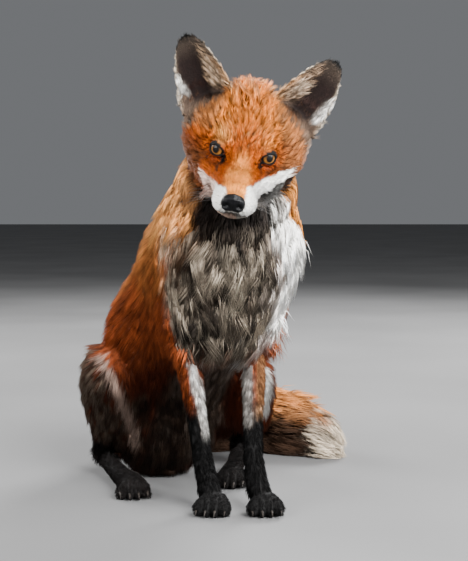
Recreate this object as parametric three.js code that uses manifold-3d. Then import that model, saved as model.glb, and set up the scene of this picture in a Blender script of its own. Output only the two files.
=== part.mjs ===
// A red fox, life size, sitting still with its head tilted and its tail laid round beside it.
// Millimetres, +Z up. The fox looks towards -Y; its own left is towards +X. The floor is at Z = 0, and the
// origin is the middle of the footprint. Every size is taken over the coat, out to the tips of the fur.
//
// Flesh is described by soft forms: each form is a function that gives the distance from a point to its
// surface, negative inside, and forms blend where they meet. wrap() pulls a ball's grid of points onto such
// a form, which gives each body part as one closed mesh, and manifold-3d then parts the neighbours by a
// hair's breadth.

import * as THREE from "three";
import { mergeVertices } from "three/addons/utils/BufferGeometryUtils.js";
import Module from "manifold-3d";

const wasm = await Module();
wasm.setup();

// ---------------------------------------------------------------- driving dimensions

const SHIFT = new THREE.Vector3(23.2, -164.4, 0); // brings the middle of the footprint to the origin
const GAP = 0.35; // the parting between neighbouring parts
const SIDES = { left: 1, right: -1 }; // the fox's own left is +X

const BODY_TURN = 26; // degrees that the rump swings towards the fox's right, behind it
const BODY_AT = { x: -4, y: 45 }; // under the middle of the chest
const HEAD_PITCH = 25.5; // degrees that the muzzle points below the level
const HEAD_ROLL = 10; // degrees that the crown leans towards the fox's left
const EYE_LINE = new THREE.Vector3(9.4, -45, 396); // halfway between the eyes

const EYE_SPACING = 56;
const EYEBALL = 10.2; // radius
const EYE_OPENING = { wide: 17.5, high: 13.5 };
const EAR_FOOT = { x: 45, y: 47, z: 28 }; // on the head, of the left ear
const EAR_TIP = { x: 83, y: 58, z: 94.5 };
const EAR = { halfWide: 34.5, thick: 5, cup: 20, foreFoot: 8, inward: 2.5, inFoot: 40, sunk: 0.45 };
const PAW = { wide: 44, high: 24, middleToes: 17, outerToes: 12, toePitch: 10.5 };
const CLAW = { long: 12, thick: 3.6, droop: 5 };

// ---------------------------------------------------------------- frames

const V = (x, y, z) => new THREE.Vector3(x, y, z);
const UP = V(0, 0, 1);
const degrees = THREE.MathUtils.degToRad;

// A point of the trunk's own frame: x to the fox's left, y back along the body, z up from the floor.
const bodyTurn = new THREE.Quaternion().setFromAxisAngle(UP, degrees(BODY_TURN));
const body = (x, y, z) => V(x, y, z).applyQuaternion(bodyTurn).add(V(BODY_AT.x, BODY_AT.y, 0));

// A point of the head's own frame, which starts halfway between the eyes: x to the fox's left, y back, z up.
const headTurn = new THREE.Quaternion()
  .setFromAxisAngle(V(0, 1, 0), degrees(HEAD_ROLL))
  .multiply(new THREE.Quaternion().setFromAxisAngle(V(1, 0, 0), degrees(HEAD_PITCH)));
const onHead = (x, y, z) => V(x, y, z).applyQuaternion(headTurn).add(EYE_LINE);
const headWay = (x, y, z) => V(x, y, z).applyQuaternion(headTurn).normalize();

// One of something for each side, such as a cheek: make takes 1 for the fox's left and -1 for its right.
const pair = (make) => Object.values(SIDES).map(make);

// ---------------------------------------------------------------- soft forms

// An egg: a ball stretched to three radii and turned.
function egg(centre, radii, turn = new THREE.Quaternion()) {
  const back = turn.clone().invert();
  const r = V(...radii);
  const rr = r.clone().multiply(r);
  return (p) => {
    const q = p.clone().sub(centre).applyQuaternion(back);
    const near = q.clone().divide(r).length();
    const slope = q.divide(rr).length();
    return slope < 1e-9 ? -Math.min(r.x, r.y, r.z) : (near * (near - 1)) / slope;
  };
}

// A bone with its flesh: a rod from a to b, of one radius at each end.
function bone(a, b, ra, rb) {
  const along = b.clone().sub(a);
  const squared = along.lengthSq();
  return (p) => {
    const q = p.clone().sub(a);
    const t = THREE.MathUtils.clamp(q.dot(along) / squared, 0, 1);
    return q.addScaledVector(along, -t).length() - THREE.MathUtils.lerp(ra, rb, t);
  };
}

function softMin(a, b, softness) {
  const h = Math.max(softness - Math.abs(a - b), 0) / softness;
  return Math.min(a, b) - (h * h * softness) / 4;
}

const blend = (softness, ...forms) => (p) =>
  forms.reduce((d, form) => softMin(d, form(p), softness), Infinity);

// A row of bones through the joints, each of which has its place and its radius.
const limb = (softness, ...joints) =>
  blend(softness, ...joints.slice(1).map((b, i) => bone(joints[i].at, b.at, joints[i].r, b.r)));
const joint = (at, r) => ({ at, r });

// ---------------------------------------------------------------- meshes

// Pulls a ball's points onto a form. The middle rings of the ball are spread along the spine, and the rings
// of its two caps fan out round the spine's ends. The rings stand square to the spine, or, where it is to be
// steady, turn evenly from its one end to the other, which suits a wide body round a bent spine.
function wrap(form, spine, { sectors, rings, caps = 0.3, side = V(1, 0, 0), steady = false }) {
  const curve = new THREE.CatmullRomCurve3(spine, false, "centripetal");
  const ball = new THREE.SphereGeometry(1, sectors, rings);
  const spot = ball.attributes.position;
  const pole = V(0, 0, 0);
  for (let i = 0; i < spot.count; i++) {
    const d = V(0, 0, 0).fromBufferAttribute(spot, i);
    const share = Math.acos(THREE.MathUtils.clamp(d.y, -1, 1)) / Math.PI;
    const t = THREE.MathUtils.clamp((share - caps / 2) / (1 - caps), 0, 1);
    const lean = share < caps / 2 ? share / (caps / 2) - 1 : Math.max(0, (share - 1) / (caps / 2) + 1);
    const along = curve.getTangent(steady ? 0 : t);
    if (steady) along.lerp(curve.getTangent(1), t).normalize();
    const across = side.clone().addScaledVector(along, -side.dot(along)).normalize();
    const up = along.clone().cross(across);
    const flat = Math.hypot(d.x, d.z);
    const way = flat < 1e-6 ? pole : across.multiplyScalar(d.x / flat).addScaledVector(up, d.z / flat);
    const ray = way
      .clone()
      .multiplyScalar(Math.cos((lean * Math.PI) / 2))
      .addScaledVector(along, Math.sin((lean * Math.PI) / 2))
      .normalize();
    const p = slide(form, curve.getPoint(t), ray);
    spot.setXYZ(i, p.x, p.y, p.z);
  }
  return faceOut(solid(shortDiagonals(ball, sectors)));
}

// Splits each four-sided face of a pulled ball along its shorter diagonal. The rows at the two poles have
// three-sided faces, which stay.
function shortDiagonals(ball, sectors) {
  const spot = ball.attributes.position;
  const index = ball.index.array;
  const at = (i) => V(0, 0, 0).fromBufferAttribute(spot, i);
  for (let i = 3 * sectors; i < index.length - 3 * sectors; i += 6) {
    const [a, b, d] = index.slice(i, i + 3);
    const c = index[i + 4];
    if (at(a).distanceTo(at(c)) < at(b).distanceTo(at(d))) index.set([a, b, c, a, c, d], i);
  }
  return ball;
}

// Goes out along a ray, by most of the depth that is left at each step, until the form's surface.
function slide(form, from, ray) {
  const p = from.clone();
  for (let step = 0; step < 90; step++) {
    const depth = -form(p);
    if (depth < 0.01) break;
    p.addScaledVector(ray, depth * 0.9);
  }
  return p;
}

function solid(geometry) {
  const bare = geometry.clone();
  bare.deleteAttribute("normal");
  bare.deleteAttribute("uv");
  const merged = mergeVertices(bare, 1e-3);
  return new wasm.Manifold(
    new wasm.Mesh({
      numProp: 3,
      vertProperties: merged.attributes.position.array,
      triVerts: new Uint32Array(merged.index.array),
    }),
  );
}

// Turns a solid's faces out, where its spine runs the other way from the ball's axis.
function faceOut(made) {
  if (made.volume() > 0) return made;
  const mesh = made.getMesh();
  const turned = mesh.triVerts.map((_, i, all) => all[i - (i % 3) + (2 - (i % 3))]);
  return new wasm.Manifold(
    new wasm.Mesh({ numProp: 3, vertProperties: mesh.vertProperties.slice(), triVerts: turned }),
  );
}

// Everything on the far side of a plane: a large block whose one face is the plane.
function beyond(point, way) {
  const size = 900;
  const block = new THREE.BoxGeometry(size, size, size).translate(0, 0, size / 2);
  block.applyQuaternion(new THREE.Quaternion().setFromUnitVectors(V(0, 0, 1), way.clone().normalize()));
  return solid(block.translate(point.x, point.y, point.z));
}

// The far side of a plane that is moved on by a little.
const halfOf = ({ at, way }, by) => beyond(at.clone().addScaledVector(way, by), way);

const floor = beyond(V(0, 0, 0), V(0, 0, -1));
const without = (made, ...others) => others.reduce((left, other) => left.subtract(other), made);
const grown = (form, by = GAP) => (p) => form(p) - by;

const fox = new THREE.Group();
fox.position.copy(SHIFT);

function add(name, made, material) {
  const mesh = made.getMesh();
  const geometry = new THREE.BufferGeometry();
  geometry.setAttribute("position", new THREE.BufferAttribute(new Float32Array(mesh.vertProperties), 3));
  geometry.setIndex(new THREE.BufferAttribute(new Uint32Array(mesh.triVerts), 1));
  geometry.computeVertexNormals();
  const part = new THREE.Mesh(geometry, material);
  part.name = name;
  fox.add(part);
}

// ---------------------------------------------------------------- colours

const coat = (color) => new THREE.MeshStandardMaterial({ color, roughness: 0.85, metalness: 0 });
const RUST = coat(0xb5521c);
const CREAM = coat(0xd8c8b4);
const SOOT = coat(0x1d1917);
const BRUSH = coat(0xa8653a);
const AMBER = new THREE.MeshStandardMaterial({ color: 0x9a6a2c, roughness: 0.08, metalness: 0 });
const HORN = new THREE.MeshStandardMaterial({ color: 0x2a2420, roughness: 0.4, metalness: 0 });
const NOSE_LEATHER = new THREE.MeshStandardMaterial({ color: 0x17181a, roughness: 0.35, metalness: 0 });

// ---------------------------------------------------------------- trunk and neck

const chest = egg(body(0, 4, 268), [68, 68, 86], bodyTurn);
const ruff = egg(body(2, -14, 296), [75, 54, 62], bodyTurn);
const withers = egg(body(-6, 62, 294), [68, 66, 62], bodyTurn);
const ribs = egg(body(-3, 98, 236), [76, 80, 84], bodyTurn);
const loins = egg(body(-3, 154, 180), [88, 82, 92], bodyTurn);
const rump = egg(body(0, 206, 97), [84, 84, 102], bodyTurn);
const belly = bone(body(0, 30, 220), body(0, 150, 170), 52, 60);
const shoulders = pair((s) => egg(body(s * 42, 24, 232), [30, 42, 66], bodyTurn));
const NAPE = V(5, 22, 371);
const NECK_FOOT = V(-5, 44, 330);
const throat = bone(NAPE, NECK_FOOT, 65, 75);
const torsoForm = blend(30, chest, ribs, loins, rump, withers, belly, ruff, ...shoulders, throat);

const bodySide = V(1, 0, 0).applyQuaternion(bodyTurn);
const backbone = [body(0, 206, 94), body(0, 150, 176), body(0, 92, 236), body(0, 40, 276)];
const torsoSpine = [...backbone, NECK_FOOT, NAPE];
const torsoMesh = (form) =>
  wrap(form, torsoSpine, { sectors: 24, rings: 25, caps: 0.36, side: bodySide, steady: true });
const NECK_CUT = { at: V(-6, 44, 322), way: V(0.1, -0.3, 0.93).normalize() };

// ---------------------------------------------------------------- head

const cranium = egg(onHead(0, 51, 9), [50, 50, 46], headTurn);
const cheeks = pair((s) => egg(onHead(s * 35.5, 40, -12), [30, 32, 32], headTurn));
const temples = pair((s) => egg(onHead(s * 41, 60, 8), [24, 26, 27], headTurn));
const jowl = egg(onHead(0, 18, -30), [46, 42, 26], headTurn);
const brow = bone(onHead(-18, 16, 9), onHead(18, 16, 9), 18, 18);
const bridge = bone(onHead(0, 12, -8), onHead(0, -57, -22.5), 20, 13);
const lip = bone(onHead(0, 6, -29), onHead(0, -48, -29), 31, 20);
const pads = pair((s) => egg(onHead(s * 9, -54, -31.5), [14, 17, 12.5], headTurn));
const chin = bone(onHead(0, 10, -36), onHead(0, -51, -39.5), 24, 10.5);
const gaze = (s) => headWay(s * 0.42, -0.89, 0.16);
const eyeCentre = (s) => onHead((s * EYE_SPACING) / 2, -3, 0).addScaledVector(gaze(s), 1 - EYEBALL);
const LID = EYEBALL + 1.2;
const lids = pair((s) => egg(eyeCentre(s), [LID, LID, LID]));
const skullForm = blend(16, cranium, brow, jowl, ...cheeks, ...temples, bridge, lip);
const faceForm = blend(6, skullForm, ...pads, chin, ...lids);

const headSide = headWay(1, 0, 0);
const headSpine = [onHead(0, -54, -29), onHead(0, -20, -19), onHead(0, 20, -4), onHead(0, 50, 6)];
const headMesh = (form, sectors = 28, rings = 26, caps = 0.34) =>
  wrap(form, headSpine, { sectors, rings, caps, side: headSide });

// The lower jaw lies under the mouth line and in front of the jaw's root, behind the mouth's corner.
const MOUTH_LINE = { at: onHead(0, -60, -40), way: headWay(0, -0.1, -1) };
const JAW_ROOT = { at: onHead(0, -4, -40), way: headWay(0, -1, 0.3) };
const jawBlock = (by) => halfOf(MOUTH_LINE, by).intersect(halfOf(JAW_ROOT, by));

const NOSTRIL_WING = [6, 6.3, 6.6];
const noseForm = blend(
  4,
  egg(onHead(-1, -70, -22.5), [10, 8, 8.5], headTurn),
  ...pair((s) => egg(onHead(s * 5.8 - 1, -71.5, -25.5), NOSTRIL_WING, headTurn)),
);
const noseSpine = [onHead(-5, -69, -24), onHead(3, -69, -24)];
const noseMesh = wrap(noseForm, noseSpine, {
  sectors: 10,
  rings: 8,
  caps: 0.9,
  side: headWay(0, -1, 0),
});

function eyeball(s, extra = 0) {
  const made = new THREE.SphereGeometry(EYEBALL + extra, 14, 8).rotateX(Math.PI / 2);
  made.applyQuaternion(new THREE.Quaternion().setFromUnitVectors(V(0, 0, 1), gaze(s)));
  const at = eyeCentre(s);
  return solid(made.translate(at.x, at.y, at.z));
}

// The almond between the lids: two arcs, drawn out along the gaze until they are clear of the lids.
function eyeOpening(s) {
  const reach = 30;
  const wide = EYE_OPENING.wide / 2;
  const high = EYE_OPENING.high;
  const almond = new THREE.Shape();
  almond.moveTo(-wide, 0);
  almond.quadraticCurveTo(0, high, wide, 0);
  almond.quadraticCurveTo(0, -high, -wide, 0);
  const made = new THREE.ExtrudeGeometry(almond, { depth: reach, bevelEnabled: false, curveSegments: 4 });
  const out = gaze(s);
  const across = headWay(1, 0, 0.12 * s);
  across.addScaledVector(out, -across.dot(out)).normalize();
  made.applyMatrix4(new THREE.Matrix4().makeBasis(across, out.clone().cross(across), out));
  const at = eyeCentre(s);
  return solid(made.translate(at.x, at.y, at.z));
}

// An ear: a thin leaf, hollowed like a cup towards the front, whose foot stands in the skull. Of each
// point, v runs from 0 at the foot to 1 at the tip, side from edge to edge, and face from back to front.
function earMesh(s) {
  const foot = onHead(s * EAR_FOOT.x, EAR_FOOT.y, EAR_FOOT.z);
  const tip = onHead(s * EAR_TIP.x, EAR_TIP.y, EAR_TIP.z);
  const long = tip.distanceTo(foot);
  const along = tip.clone().sub(foot).normalize();
  const front = headWay(s * 0.3, -0.95, 0.1);
  front.addScaledVector(along, -front.dot(along)).normalize();
  const across = along.clone().cross(front).multiplyScalar(-s);
  const leaf = new THREE.SphereGeometry(1, 13, 10);
  const spot = leaf.attributes.position;
  for (let i = 0; i < spot.count; i++) {
    const d = V(0, 0, 0).fromBufferAttribute(spot, i);
    const down = Math.acos(THREE.MathUtils.clamp(d.y, -1, 1)) / Math.PI;
    const v = 1 - (1 + EAR.sunk) * Math.pow(down, 1.3);
    const flat = Math.hypot(d.x, d.z) || 1;
    const side = d.x / flat;
    const face = (d.z / flat) * Math.min(1, 3 * flat);
    const sunk = Math.min(v, 0);
    const hollow = EAR.cup * Math.pow(1 - Math.max(v, 0), 0.8) * (1 - side * side);
    const p = foot.clone().addScaledVector(along, v * long);
    p.addScaledVector(across, EAR.halfWide * earTaper(v) * side + EAR.inward - EAR.inFoot * sunk * sunk);
    p.addScaledVector(front, (EAR.thick / 2) * face - hollow + EAR.foreFoot * (1 - v));
    spot.setXYZ(i, p.x, p.y, p.z);
  }
  return faceOut(solid(leaf));
}

// The ear's width at v, as a share of its width at the foot. Below the foot it rounds off in the skull.
function earTaper(v) {
  if (v > 0) return Math.pow(1 - Math.pow(v, 1.5), 0.5);
  return Math.sqrt(Math.max(0, 1 - (v / EAR.sunk) ** 2));
}

// ---------------------------------------------------------------- legs

const LIMBS = {
  left: {
    elbow: V(22, 66, 180),
    wrist: V(22, 38, 52),
    heel: V(27, 30, 24),
    forepaw: { at: V(34, 18, 0), ahead: V(0.08, -1, 0).normalize() },
    knee: body(93, 143, 128),
    calf: body(111, 160, 78),
    hock: body(108, 194, 26),
    hindpaw: { at: body(48, 96, 0), ahead: V(-0.1, -0.99, 0).normalize() },
  },
  right: {
    elbow: V(-52, 44, 180),
    wrist: V(-34, 34, 52),
    heel: V(-28, 30, 24),
    forepaw: { at: V(-23, 18, 0), ahead: V(-0.12, -1, 0).normalize() },
    knee: body(-81, 144, 134),
    calf: body(-77, 183, 80),
    hock: body(-72, 222, 26),
    hindpaw: { at: body(-80, 98, 0), ahead: V(0.14, -0.99, 0).normalize() },
  },
};

const middleOf = ({ elbow, wrist }) => elbow.clone().lerp(wrist, 0.5);
function forelegForm(leg) {
  const radius = { elbow: 22, middle: 12.5, wrist: 12.5, heel: 15.5 };
  return limb(
    5,
    joint(leg.elbow, radius.elbow),
    joint(middleOf(leg), radius.middle),
    joint(leg.wrist, radius.wrist),
    joint(leg.heel, radius.heel),
  );
}
const forelegSpine = (leg) => [leg.elbow, middleOf(leg), leg.wrist, leg.forepaw.at.clone().setZ(26)];

// A paw: a low pad with four toes in front, the middle two ahead of the others.
const TOES = [-1.5, -0.5, 0.5, 1.5];
const TOE_HEIGHT = 9.5;
function toe({ at, ahead }, k) {
  const across = UP.clone().cross(ahead);
  const reach = Math.abs(k) < 1 ? PAW.middleToes : PAW.outerToes;
  return at.clone().addScaledVector(ahead, reach).addScaledVector(across, k * PAW.toePitch);
}
function pawForm(paw, back) {
  const turn = new THREE.Quaternion().setFromUnitVectors(V(0, -1, 0), paw.ahead);
  const heel = paw.at.clone().addScaledVector(paw.ahead, -back);
  return blend(
    5,
    bone(heel.setZ(PAW.high * 0.55), paw.at.clone().setZ(PAW.high * 0.5), 13, 14),
    egg(paw.at.clone().setZ(11), [PAW.wide * 0.46, 20, 12.5], turn),
    ...TOES.map((k) => egg(toe(paw, k).setZ(TOE_HEIGHT), [7, 11.5, 10.5], turn)),
  );
}
const pawSpine = ({ at, ahead }) => [-10, 0, 12].map((d) => at.clone().addScaledVector(ahead, d).setZ(10));

function claw(paw, k) {
  const root = toe(paw, k).addScaledVector(paw.ahead, 7).setZ(TOE_HEIGHT);
  const across = UP.clone().cross(paw.ahead);
  const horn = new THREE.ConeGeometry(CLAW.thick / 2, CLAW.long, 5, 2);
  const spot = horn.attributes.position;
  for (let i = 0; i < spot.count; i++) {
    const d = V(0, 0, 0).fromBufferAttribute(spot, i);
    const far = d.y / CLAW.long + 0.5;
    const p = root.clone().addScaledVector(paw.ahead, far * CLAW.long).addScaledVector(across, d.x);
    spot.setXYZ(i, p.x, p.y, p.z + d.z - CLAW.droop * far * far);
  }
  return faceOut(solid(horn));
}

// The left knee stands out at the fox's side, and the right one is drawn up in front of its hip.
const hip = (s) => body(s * 47, 206, 122);
const thighForm = (s, { knee, calf }) =>
  blend(
    30,
    bone(hip(s), knee, 56, 33),
    bone(body(s * 50, 206, 76), calf.clone().lerp(knee, 0.3), 47, 31),
    bone(hip(s), body(s * 76, 167, 152), 46, 33),
  );
const shankForm = ({ knee, calf, hock }) => limb(14, joint(knee, 26), joint(calf, 24), joint(hock, 17));
const instep = ({ hock, hindpaw }) => hock.clone().lerp(hindpaw.at, 0.1).setZ(22); // in front of the hock
const hindpawForm = (leg) =>
  blend(8, pawForm(leg.hindpaw, 20), bone(instep(leg), leg.hindpaw.at.clone().setZ(13), 12, 12.5));

// ---------------------------------------------------------------- tail

const TAIL = [
  joint(body(-14, 274, 66), 30),
  joint(V(-98, 342, 48), 42),
  joint(V(-48, 382, 46), 47),
  joint(V(18, 386, 47), 48),
  joint(V(76, 362, 42), 43),
  joint(V(112, 336, 31), 31),
  joint(V(132, 322, 18), 16),
];
const tailForm = limb(14, ...TAIL);
const tailSpine = TAIL.map((j) => j.at);
const tailMesh = wrap(tailForm, tailSpine, { sectors: 14, rings: 19, side: UP });
const TAIL_CUTS = [
  { at: TAIL[2].at, way: V(0.93, 0.36, 0).normalize() },
  { at: TAIL[4].at, way: V(0.86, -0.5, 0).normalize() },
];

// ---------------------------------------------------------------- putting together

const headAll = headMesh(faceForm);
const headRoom = headMesh(grown(faceForm));
const headHollow = headMesh(grown(faceForm, 5 * GAP), 20, 24, 0.5); // coarser, for the neck's collar
const eyeRoom = pair((s) => eyeball(s, GAP).add(eyeOpening(s)));
add("head", without(headAll, jawBlock(0), ...eyeRoom), RUST);
add("lower_jaw", headAll.intersect(jawBlock(GAP)), CREAM);
add("nose", without(noseMesh, headRoom), NOSE_LEATHER);

const torso = without(torsoMesh(torsoForm), headHollow, floor);
const torsoRoom = torsoMesh(grown(torsoForm));
add("neck", torso.intersect(halfOf(NECK_CUT, GAP)), RUST);
add("trunk", without(torso, halfOf(NECK_CUT, 0)), RUST);

for (const [name, s] of Object.entries(SIDES)) {
  add(`eye_${name}`, eyeball(s), AMBER);
  add(`ear_${name}`, without(earMesh(s), headRoom), SOOT);
}

function addForeleg(name) {
  const leg = LIMBS[name];
  const { forepaw } = leg;
  const legMesh = (form) => wrap(form, forelegSpine(leg), { sectors: 10, rings: 12 });
  const pawMesh = (form) => wrap(form, pawSpine(forepaw), { sectors: 12, rings: 10 });
  const legForm = forelegForm(leg);
  const footForm = pawForm(forepaw, 10);
  add(`foreleg_${name}`, without(legMesh(legForm), torsoRoom), RUST);
  add(`forepaw_${name}`, without(pawMesh(footForm), legMesh(grown(legForm)), floor), SOOT);
  addClaws(`claw_fore_${name}`, forepaw, pawMesh(grown(footForm)));
}

// Adds a hind leg, and gives back the room that its parts take up.
function addHindLeg(name, s) {
  const leg = LIMBS[name];
  const footForm = hindpawForm(leg);
  const footSpine = [instep(leg), ...pawSpine(leg.hindpaw)];
  const thighGrid = { sectors: 15, rings: 11, caps: 0.5, side: UP };
  const shankGrid = { sectors: 11, rings: 9, side: bodySide };
  const thighMesh = (form) => wrap(form, [hip(s), leg.knee], thighGrid);
  const shankMesh = (form) => wrap(form, [leg.knee, leg.calf, leg.hock], shankGrid);
  const footMesh = (form) => wrap(form, footSpine, { sectors: 11, rings: 14 });
  const room = [torsoRoom];
  for (const [part, mesh, form, material] of [
    ["thigh", thighMesh, thighForm(s, leg), RUST],
    ["shank", shankMesh, shankForm(leg), RUST],
    ["hindpaw", footMesh, footForm, SOOT],
  ]) {
    add(`${part}_${name}`, without(mesh(form), ...room, floor), material);
    room.push(mesh(grown(form)));
  }
  addClaws(`claw_hind_${name}`, leg.hindpaw, room.at(-1));
  return room.slice(1);
}

function addClaws(name, paw, room) {
  TOES.forEach((k, i) => add(`${name}_${i + 1}`, without(claw(paw, k), room), HORN));
}

const hindRoom = [];
for (const [name, s] of Object.entries(SIDES)) {
  addForeleg(name);
  hindRoom.push(...addHindLeg(name, s));
}

const tailFree = without(tailMesh, torsoRoom, ...hindRoom, floor);
const [rootCut, tipCut] = TAIL_CUTS;
add("tail_root", without(tailFree, halfOf(rootCut, 0)), BRUSH);
add("tail_brush", without(tailFree.intersect(halfOf(rootCut, GAP)), halfOf(tipCut, 0)), BRUSH);
add("tail_tip", tailFree.intersect(halfOf(tipCut, GAP)), CREAM);

export default fox;
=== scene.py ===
"""A red fox, life size, sitting on a pale floor with its head tilted and its tail laid round beside it.

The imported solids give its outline, out to the tips of the fur. One skin, which lies inside them by the
depth of the coat, takes the place of the flesh. Over the skin the coat is grown as closed spikes of mesh,
drawn together into locks: bent ones on the head, neck, chest and tail and in the cups of the ears, and
straight ones elsewhere.
"""

import math
from collections import namedtuple

import bpy
import numpy as np
from mathutils import Matrix, Vector, kdtree
from mathutils.bvhtree import BVHTree


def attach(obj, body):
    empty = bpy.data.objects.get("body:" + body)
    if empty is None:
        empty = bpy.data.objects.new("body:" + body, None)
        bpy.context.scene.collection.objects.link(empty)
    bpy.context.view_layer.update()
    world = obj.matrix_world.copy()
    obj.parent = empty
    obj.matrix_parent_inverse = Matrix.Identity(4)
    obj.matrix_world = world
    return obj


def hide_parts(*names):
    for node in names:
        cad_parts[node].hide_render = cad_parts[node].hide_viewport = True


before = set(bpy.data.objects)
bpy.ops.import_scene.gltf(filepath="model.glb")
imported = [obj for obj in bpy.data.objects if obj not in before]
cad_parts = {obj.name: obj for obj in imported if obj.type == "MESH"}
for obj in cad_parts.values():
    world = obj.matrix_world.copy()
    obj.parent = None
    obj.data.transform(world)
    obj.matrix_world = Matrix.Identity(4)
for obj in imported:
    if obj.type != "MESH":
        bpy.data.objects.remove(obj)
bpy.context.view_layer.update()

MM = 0.001  # the tables and all work on arrays are in millimetres
chance = np.random.default_rng(41)

# ---- the fox's own places

SHIFT = np.array((23.2, -164.4, 0.0))
BODY_AT = np.array((-4.0, 45.0, 0.0))
EYE_LINE = np.array((9.4, -45.0, 396.0))
EYEBALL = 10.2
EAR_FOOT, EAR_TIP, EAR_HALF, EAR_INWARD = (45, 47, 28), (83, 58, 94.5), 34.5, 2.5
SIDES = {"left": 1, "right": -1}


def turned(axis, degrees):
    return np.array(Matrix.Rotation(math.radians(degrees), 3, axis))


BODY_TURN = turned("Z", 26)
HEAD_TURN = turned("Y", 10) @ turned("X", 25.5)


def unit(v):
    v = np.asarray(v, float)
    return v / np.maximum(np.linalg.norm(v, axis=-1, keepdims=True), 1e-9)


def at(x, y, z):
    return np.array((x, y, z), float) + SHIFT


def on_body(x, y, z):
    return BODY_TURN @ (x, y, z) + BODY_AT + SHIFT


def on_head(x, y, z):
    return HEAD_TURN @ (x, y, z) + EYE_LINE + SHIFT


def body_way(x, y, z):
    return BODY_TURN @ (x, y, z)


def head_way(x, y, z):
    return unit(HEAD_TURN @ (x, y, z))


def in_head(points):
    return (points - SHIFT - EYE_LINE) @ HEAD_TURN


def in_body(points):
    return (points - SHIFT - BODY_AT) @ BODY_TURN


NOSE = on_head(-1, -72, -26)


def gaze(s):
    return head_way(s * 0.42, -0.89, 0.16)


def eye_centre(s):
    return on_head(s * 28, -3, 0) + gaze(s) * (1 - EYEBALL)


def eye_axes(s):
    """Across, up and out, as the rows of a matrix. Across points away from the nose."""
    out = gaze(s)
    across = HEAD_TURN @ (s, 0, 0.2)
    across = unit(across - out * (across @ out))
    return np.array((across, np.cross(out, across) * s, out))


def in_eye(points, s):
    return (points - eye_centre(s)) @ eye_axes(s).T


def from_eye(points, s):
    return points @ eye_axes(s) + eye_centre(s)


def ear_axes(s):
    """Foot, length, and the ways along, across (towards the crown) and to the front."""
    foot = on_head(s * EAR_FOOT[0], *EAR_FOOT[1:])
    tip = on_head(s * EAR_TIP[0], *EAR_TIP[1:])
    along = unit(tip - foot)
    front = head_way(s * 0.3, -0.95, 0.1)
    front = unit(front - along * (front @ along))
    return foot, np.linalg.norm(tip - foot), along, np.cross(along, front) * -s, front


# ---- arithmetic on arrays


def ramp(low, high, x):
    t = np.clip((x - low) / (high - low), 0, 1)
    return t * t * (3 - 2 * t)


def hump(x, middle, half):
    """1 at the middle, and 0 from half on either side."""
    return ramp(1, 0, np.abs(x - middle) / half)


def toward(colours, target, share):
    return colours + (np.asarray(target) - colours) * np.clip(share, 0, 1).reshape(-1, 1)


class Paint:
    """The colours of some points. Calling it draws them towards a colour, by a share at each point."""

    def __init__(self, colours):
        self.colours = colours

    def __call__(self, target, share):
        self.colours = toward(self.colours, target, share)


def cells(corner, seed):
    h = np.sin(corner @ (127.1, 311.7, 74.7) + seed * 17.3) * 43758.5453
    return h - np.floor(h)


def mottle(points, size, seed=0):
    """Smooth patches of about that size, from 0 to 1."""
    q = points / size
    whole = np.floor(q)
    f = q - whole
    f = f * f * (3 - 2 * f)
    total = np.zeros(len(points))
    for corner in np.ndindex(2, 2, 2):
        weight = np.prod(np.where(corner, f, 1 - f), axis=1)
        total += weight * cells(whole + corner, seed)
    return total


def ragged(points, *waves):
    """A sum of mottles round 0, from the height, size and seed of each."""
    return sum(height * (mottle(points, size, seed) - 0.5) for height, size, seed in waves)


def to_line(points, a, b):
    """How far points are from a straight line between two ends."""
    along = np.subtract(b, a)
    t = np.clip((points - a) @ along / max(along @ along, 1e-9), 0, 1)
    return np.linalg.norm(points - a - t[:, None] * along, axis=1)


def is_one(patch, *names):
    return np.isin(patch, [PATCHES.index(name) for name in names])


# ---- how the coat lies

# Depth is how far the tips stand off the skin, and length is a spike's own, from root to tip. Wave bends a
# lock to either side, and clump draws its tips together.
Coat = namedtuple("Coat", "depth length width wave clump")
MUZZLE = Coat(1.8, 5.5, 0.60, 0.2, 0.35)
CHIN = Coat(1.8, 5.5, 0.60, 0.1, 0.2)
BROW = Coat(3.6, 11.0, 0.60, 0.6, 0.65)
UNDER_EYE = Coat(2.6, 7.5, 0.62, 0.4, 0.6)
CROWN = Coat(7.0, 17.0, 0.74, 0.9, 0.65)
CHEEK = Coat(6.0, 19.0, 0.78, 0.5, 0.6)
JOWL = Coat(4.5, 13.0, 0.75, 0.4, 0.6)
EAR_BASE = Coat(1.3, 10.0, 0.66, 0.2, 0.2)
EAR = Coat(0.6, 5.0, 0.58, 0.0, 0.1)
NECK = Coat(12.5, 36.0, 0.92, 0.45, 0.42)
RUFF = Coat(18.0, 46.0, 0.91, 0.9, 0.5)
SIDE = Coat(7.0, 22.0, 0.95, 0.3, 0.35)
BACK = Coat(7.5, 23.0, 0.95, 0.3, 0.35)
BELLY = Coat(7.0, 20.0, 0.95, 0.3, 0.4)
HAUNCH = Coat(7.0, 21.0, 0.95, 0.4, 0.4)
SHANK = Coat(4.5, 14.0, 0.85, 0.2, 0.35)
UPPER_LEG = Coat(4.0, 12.0, 0.75, 0.2, 0.35)
LEG = Coat(2.9, 9.5, 0.68, 0.1, 0.4)
PAW = Coat(1.6, 6.0, 0.64, 0.1, 0.35)

# One row for each bone under the coat: patch, the bone's two ends, its reach to the coat's surface, the way
# the hair runs (None runs away from the nose) and the coat.
Lie = namedtuple("Lie", "patch start end reach way coat")
DOWN = np.array((0.0, 0.0, -1.0))

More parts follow.
